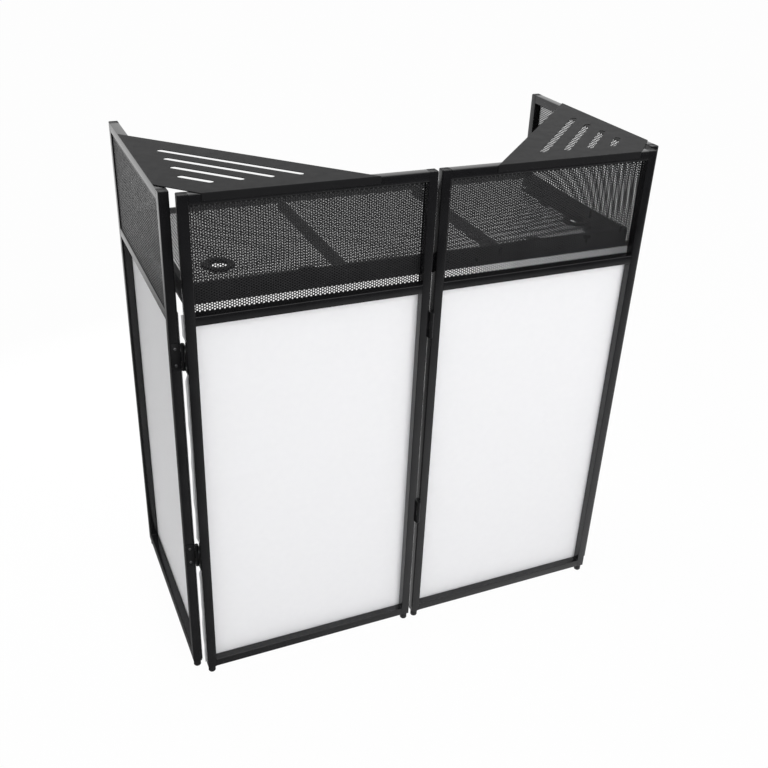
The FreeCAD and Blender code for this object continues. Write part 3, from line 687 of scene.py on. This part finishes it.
for name, parts in (("hinge_front_leaves", front_leaves), ("hinge_wing_leaves", wing_leaves),
                    ("hinge_pins", left_pins)):
    piece = joined(f"left_{name}_rolled", parts)
    fitted(mirrored(piece, f"right_{name}_rolled"), hinge_steel, "hinge_steel", f"right_{name}")
    fitted(piece, hinge_steel, "hinge_steel", f"left_{name}")
for name, parts in (("left_leaves", centre_left), ("right_leaves", centre_right), ("pins", centre_pins)):
    fitted(joined(f"centre_hinge_{name}_rolled", parts), hinge_steel, "hinge_steel", f"centre_hinge_{name}")
wing_heads = joined("left_wing_screw_heads", wing_screws)
fitted(mirrored(wing_heads, "right_wing_screw_heads"), screw_steel, "screw_steel", "right_wing_hinge_screws")
fitted(wing_heads, screw_steel, "screw_steel", "left_wing_hinge_screws")
side_heads = joined("side_screw_heads", front_screws)
right_heads = joined("front_right_screw_heads",
                     [mirrored(side_heads, "right_side_heads"), *centre_right_screws])
fitted(right_heads, screw_steel, "screw_steel", "front_right_hinge_screws")
left_heads = joined("front_left_screw_heads", [side_heads, *centre_left_screws])
fitted(left_heads, screw_steel, "screw_steel", "front_left_hinge_screws")


# Table brackets
# Flat steel brackets screwed down on the wings' middle rails, two to a wing. They reach into the
# booth, and a rubber pad on each carries the table's end.
PAD_RINGS = ((0.0080, 0.0), (0.0080, 0.0013), (0.0077, 0.0018), (0.0071, 0.002))
BRACKET = 0.040
BRACKET_CORNER = 0.003
BRACKET_EDGE = 0.0004
BRACKET_SCREW_STEP = 0.009
BRACKET_SCREW_IN = 0.007
pad_rubber = plastic("black_pad_rubber", (0.012, 0.012, 0.012), (0.02, 0.02, 0.02), (0.7, 0.85), 500, 0.4)
for wing in ("left_wing", "right_wing"):
    low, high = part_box(f"{wing}_table_brackets")
    pad_low, pad_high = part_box(f"{wing}_table_pads")
    screw_x = high.x - BRACKET_SCREW_IN if wing == "right_wing" else low.x + BRACKET_SCREW_IN
    plates, pads = [], []
    for start in (low.y, high.y - BRACKET):
        plate = block(Vector((low.x, start, low.z)), Vector((high.x, start + BRACKET, high.z)))
        choose("EDGE", lambda edge: runs(edge, 2))
        bpy.ops.mesh.bevel(offset=BRACKET_CORNER, segments=4, affect="EDGES")
        bpy.ops.object.mode_set(mode="OBJECT")
        plates.append(edged(plate, BRACKET_EDGE))
        for step in (BRACKET_SCREW_STEP, BRACKET - BRACKET_SCREW_STEP):
            plates.append(copied(cross_head, (screw_x, start + step, high.z)))
        pad = turned(PAD_RINGS, 28)
        pads.append(settle(pad, ((pad_low.x + pad_high.x) / 2, start + BRACKET / 2, pad_low.z)))
    fitted(joined(f"{wing}_bracket_plates", plates), frame_coat, "frame_coat", f"{wing}_table_brackets")
    fitted(joined(f"{wing}_rubber_pads", pads), pad_rubber, "pad_rubber", f"{wing}_table_pads")
bpy.data.objects.remove(cross_head)


# Table frame
# Folded sheet steel: a tall channel in front, a low one behind, end plates with a narrow hem above and
# a flange below, and two cross bars, welded into one lift-off table and powder coated dull black.
TABLE_SHEET = 0.0015
BACK_LIP = 0.014
END_HEM = 0.011
FOLD = 0.0022


def folded(low, high, open_faces, bend, hem=None):
    """A folded section: a block with its open faces removed, its bends rounded and its sheet made thick."""
    piece = block(low, high)
    choose("FACE", lambda face: any(face.normal.dot(Vector(away)) > FACING for away in open_faces))
    bpy.ops.mesh.delete(type="ONLY_FACE")
    if hem:
        way, shift = hem
        edge = high[way] if shift < 0 else low[way]
        choose("VERT", lambda corner: abs(corner.co.z - high.z) < NEAR and abs(corner.co[way] - edge) < NEAR)
        bpy.ops.transform.translate(value=[shift if axis == way else 0 for axis in range(3)])
    choose("EDGE", lambda edge: runs(edge, bend) and len(edge.link_faces) == 2)
    bpy.ops.mesh.bevel(offset=FOLD, segments=4, affect="EDGES")
    bpy.ops.object.mode_set(mode="OBJECT")
    wall = piece.modifiers.new("wall", "SOLIDIFY")
    wall.thickness, wall.offset = TABLE_SHEET, -1
    bpy.ops.object.modifier_apply(modifier="wall")
    return piece


table_coat = powder_coat("dull_black_table_coat", (0.008, 0.008, 0.0087), (0.0125, 0.0125, 0.0135),
                         (0.48, 0.6), 0.1, 0.14)
BACK, FRONT, RIGHT, LEFT, DOWN = (0, 1, 0), (0, -1, 0), (1, 0, 0), (-1, 0, 0), (0, 0, -1)
END_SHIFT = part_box("table_left_end")[1].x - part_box("table_left_end")[0].x - END_HEM
back_low, back_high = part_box("table_back_rail")
back_low.z = back_high.z - BACK_LIP
table_parts = [
    folded(*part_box("table_front_rail"), (BACK, LEFT, RIGHT), 0),
    folded(back_low, back_high, (FRONT, LEFT, RIGHT), 0),
    folded(*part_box("table_left_end"), (RIGHT, FRONT, BACK), 1, (0, -END_SHIFT)),
    folded(*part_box("table_right_end"), (LEFT, FRONT, BACK), 1, (0, END_SHIFT)),
    folded(*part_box("table_left_bar"), (DOWN, FRONT, BACK), 1),
    folded(*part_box("table_right_bar"), (DOWN, FRONT, BACK), 1),
]
fitted(joined("table_folded_frame", table_parts), table_coat, "table_coat",
       "table_front_rail", "table_back_rail", "table_left_end", "table_right_end",
       "table_left_bar", "table_right_bar")


# Table panels
# Three panels of the same punched sheet, set flush between the rails and bars. The outer two
# have a round hole for a cable grommet.
GROMMETS = ((-0.42775, -0.14465), (0.42775, -0.14465))
GROMMET_CUT = 0.0285
PANEL_SHEET = 0.0006
TABLE_HOLE = 0.00218
left_low, left_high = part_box("table_left_panel")
left_middle = (left_low + left_high) / 2
size = left_high - left_low
hole = Vector(GROMMETS[0]) - left_middle.xy
panel = perforated("table_left_perforated", size.y, size.x, PANEL_SHEET, TABLE_HOLE, 6,
                   cut_out=(Vector((hole.y, -hole.x)), GROMMET_CUT))
settle(panel, (left_middle.x, left_middle.y, left_high.z - PANEL_SHEET / 2), (0, 0, math.radians(90)))
fitted(mirrored(panel, "table_right_perforated"), table_coat, "table_coat", "table_right_panel")
fitted(panel, table_coat, "table_coat", "table_left_panel")
low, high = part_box("table_centre_panel")
size = high - low
panel = perforated("table_centre_perforated", size.y, size.x, PANEL_SHEET, TABLE_HOLE, 6)
settle(panel, ((low.x + high.x) / 2, (low.y + high.y) / 2, high.z - PANEL_SHEET / 2),
       (0, 0, math.radians(90)))
fitted(panel, table_coat, "table_coat", "table_centre_panel")


# Cable grommets
# Moulded black plastic rings: a flange with a rounded shoulder lies on the table, and a short sleeve
# goes down through the sheet.
GROMMET_RINGS = ((0.0190, -0.0030), (0.0190, 0.0036), (0.0196, 0.0048), (0.0208, 0.0055), (0.0300, 0.0055),
                 (0.0320, 0.0048), (0.0333, 0.0028), (0.0340, 0.0), (0.0270, 0.0), (0.0270, -0.0026),
                 (0.0266, -0.0030))
ring_plastic = plastic("black_ring_plastic", (0.006, 0.006, 0.0065), (0.009, 0.009, 0.0095),
                       (0.45, 0.6), 900, 0.2, 0.1)
ring = turned(GROMMET_RINGS, 64, True)
table_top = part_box("table_left_panel")[1].z
rings = [copied(ring, (x, y, table_top)) for x, y in GROMMETS]
bpy.data.objects.remove(ring)
fitted(joined("table_cable_rings", rings), ring_plastic, "cap_plastic", "table_grommets")


# Table clips
# Strips of steel bent over the table's front edge, one behind the middle of each front panel.
# They are coated with the table.
CLIP = 0.002
CLIP_WIDTH = 0.032
CLIP_BEND = 0.0018
CLIP_EDGE = 0.0003
clip_low, clip_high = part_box("table_clips")
clips = []
for start in (clip_low.x, clip_high.x - CLIP_WIDTH):
    clip = block(Vector((start, clip_low.y, clip_low.z)),
                 Vector((start + CLIP_WIDTH, clip_low.y + CLIP, clip_high.z)))
    bpy.ops.mesh.select_all(action="SELECT")
    bpy.ops.mesh.bisect(plane_co=(0, 0, clip_high.z - CLIP), plane_no=(0, 0, 1))
    choose("FACE", lambda face: face.normal.y > FACING and face.calc_center_median().z > clip_high.z - CLIP)
    hook = (0, clip_high.y - clip_low.y - CLIP, 0)
    bpy.ops.mesh.extrude_region_move(TRANSFORM_OT_translate={"value": hook})
    choose("EDGE", lambda edge: runs(edge, 0) and all(
        abs(corner.co.z - clip_high.z) < NEAR and abs(corner.co.y - clip_low.y) < NEAR
        for corner in edge.verts))
    bpy.ops.mesh.bevel(offset=CLIP_BEND, segments=4, affect="EDGES")
    bpy.ops.object.mode_set(mode="OBJECT")
    clips.append(edged(clip, CLIP_EDGE))
fitted(joined("table_bent_clips", clips), table_coat, "table_coat", "table_clips")


# Corner shelves
# Three-sided plates cut from steel sheet with four slots and a folded lip, laid over the front and
# wing rails at each corner. They have a textured dark grey powder coat.
shelf_coat = powder_coat("dark_grey_shelf_coat", (0.0100, 0.0100, 0.0107), (0.0112, 0.0112, 0.0119),
                         (0.5, 0.55), 0.2, 0.13)
for shelf in ("left_shelf", "right_shelf"):
    coated(frame["nodes"][shelf], shelf_coat)


# Floor, light and camera
# A plain pale floor that runs out of sight, soft light from all round, a large lamp in front and a small
# one behind. In reflections the floor carries painted shade: it is darker far in front, and darker beside
# the left wing as a painted shadow of the booth.
# The camera stands in front of the left corner, above the shelves.
FLOOR_SIZE = 24
FLOOR_GLOW = 0.97
# Painted shade for reflections: the floor's glow in mirrored rays fades far in front, and drops beside the
# left wing as a painted shadow of the booth; far behind, it rises again.
FRONT_FADE = (-2.6, -0.4)
PAINTED_WING_SHADOW_FADE = (-0.6, 0.4)
PAINTED_WING_SHADOW_GLOW = (0.1, 0.94)
BACK_RISE = (1.3, 2.6)
BACK_GLOW = (0.0, 0.88)
SOFT_LIGHT = 0.485
LAMPS = (("front_lamp", (0.9, -3.7, 2.8), 88, 2.6), ("back_lamp", (-0.45, 1.6, 0.9), 22, 0.8))
LAMP_AIM = Vector((0, 0, 0.6))
CAMERA_SPOT = (-0.8757, -1.9331, 1.7512)
CAMERA_TURN = (24.83, 29.47, 2.62)
SENSOR, FOCUS, FAR = 36, 45.44, 60


def merged(tree, operation, first, second):
    """Two values of a node tree put together by one operation."""
    maths = tree.nodes.new("ShaderNodeMath")
    maths.operation = operation
    tree.links.new(first, maths.inputs[0])
    tree.links.new(second, maths.inputs[1])
    return maths.outputs["Value"]


def ramp(tree, value, across, glow=(0, 1)):
    """A value that goes from one glow to the other across a range, and stays level outside it."""
    slope = tree.nodes.new("ShaderNodeMapRange")
    slope.inputs["From Min"].default_value, slope.inputs["From Max"].default_value = across
    slope.inputs["To Min"].default_value, slope.inputs["To Max"].default_value = glow
    tree.links.new(value, slope.inputs["Value"])
    return slope.outputs["Result"]


def straight(tree, path):
    """One for rays from the camera, off a gloss or through a clear piece, and nought for soft light."""
    bounced = merged(tree, "MAXIMUM", path.outputs["Is Glossy Ray"], path.outputs["Is Transmission Ray"])
    return merged(tree, "MAXIMUM", path.outputs["Is Camera Ray"], bounced)


bpy.ops.object.select_all(action="DESELECT")
bpy.ops.mesh.primitive_plane_add(size=FLOOR_SIZE, location=(0, 0, 0))
floor = bpy.context.object
floor.name = "floor"
pale = bpy.data.materials.new("pale_floor")
pale.use_nodes = True
tree = pale.node_tree
matte = tree.nodes["Principled BSDF"]
matte.inputs["Base Color"].default_value = (0.93, 0.93, 0.93, 1)
matte.inputs["Roughness"].default_value = 0.9
matte.inputs["Specular IOR Level"].default_value = 0.0
path = tree.nodes.new("ShaderNodeLightPath")
spot = tree.nodes.new("ShaderNodeTexCoord")
place = tree.nodes.new("ShaderNodeSeparateXYZ")
tree.links.new(spot.outputs["Object"], place.inputs["Vector"])
# The floor's glow as seen in reflections, with painted shade in front and a painted shadow beside the left
# wing.
painted_front_shade = ramp(tree, place.outputs["Y"], FRONT_FADE)
painted_wing_shadow = ramp(tree, place.outputs["X"], PAINTED_WING_SHADOW_FADE, PAINTED_WING_SHADOW_GLOW)
behind = ramp(tree, place.outputs["Y"], BACK_RISE, BACK_GLOW)
mirror = merged(tree, "MULTIPLY", painted_front_shade, merged(tree, "MAXIMUM", painted_wing_shadow, behind))
glow = tree.nodes.new("ShaderNodeEmission")
tree.links.new(merged(tree, "MAXIMUM", path.outputs["Is Camera Ray"], mirror), glow.inputs["Strength"])
mix = tree.nodes.new("ShaderNodeMixShader")
tree.links.new(ramp(tree, straight(tree, path), (0, 1), (0, FLOOR_GLOW)), mix.inputs["Fac"])
tree.links.new(matte.outputs["BSDF"], mix.inputs[1])
tree.links.new(glow.outputs["Emission"], mix.inputs[2])
tree.links.new(mix.outputs["Shader"], tree.nodes["Material Output"].inputs["Surface"])
floor.data.materials.append(pale)

world = bpy.data.worlds.new("white_studio")
bpy.context.scene.world = world
world.use_nodes = True
tree = world.node_tree
path = tree.nodes.new("ShaderNodeLightPath")
tree.nodes["Background"].inputs["Color"].default_value = (1, 1, 1, 1)
tree.links.new(ramp(tree, straight(tree, path), (0, 1), (SOFT_LIGHT, 1)),
               tree.nodes["Background"].inputs["Strength"])

for name, spot, watts, width in LAMPS:
    lamp = bpy.data.lights.new(name, "AREA")
    lamp.energy, lamp.size = watts, width
    holder = bpy.data.objects.new(name, lamp)
    bpy.context.scene.collection.objects.link(holder)
    holder.location = spot
    holder.visible_camera = holder.visible_glossy = False
    holder.rotation_euler = (LAMP_AIM - Vector(spot)).to_track_quat("-Z", "Y").to_euler()

yaw, pitch, roll = (math.radians(angle) for angle in CAMERA_TURN)
ahead = Vector((math.sin(yaw) * math.cos(pitch), math.cos(yaw) * math.cos(pitch), -math.sin(pitch)))
right = Vector((math.cos(yaw), -math.sin(yaw), 0))
up = right.cross(ahead)
right, up = right * math.cos(roll) + up * math.sin(roll), up * math.cos(roll) - right * math.sin(roll)
lens = bpy.data.cameras.new("camera")
lens.sensor_width, lens.lens, lens.clip_end = SENSOR, FOCUS, FAR
camera = bpy.data.objects.new("camera", lens)
bpy.context.scene.collection.objects.link(camera)
x, y, z = CAMERA_SPOT
camera.matrix_world = Matrix((
    (right.x, up.x, -ahead.x, x), (right.y, up.y, -ahead.y, y), (right.z, up.z, -ahead.z, z), (0, 0, 0, 1)))
bpy.context.scene.camera = camera
bpy.context.scene.view_settings.view_transform = "Standard"
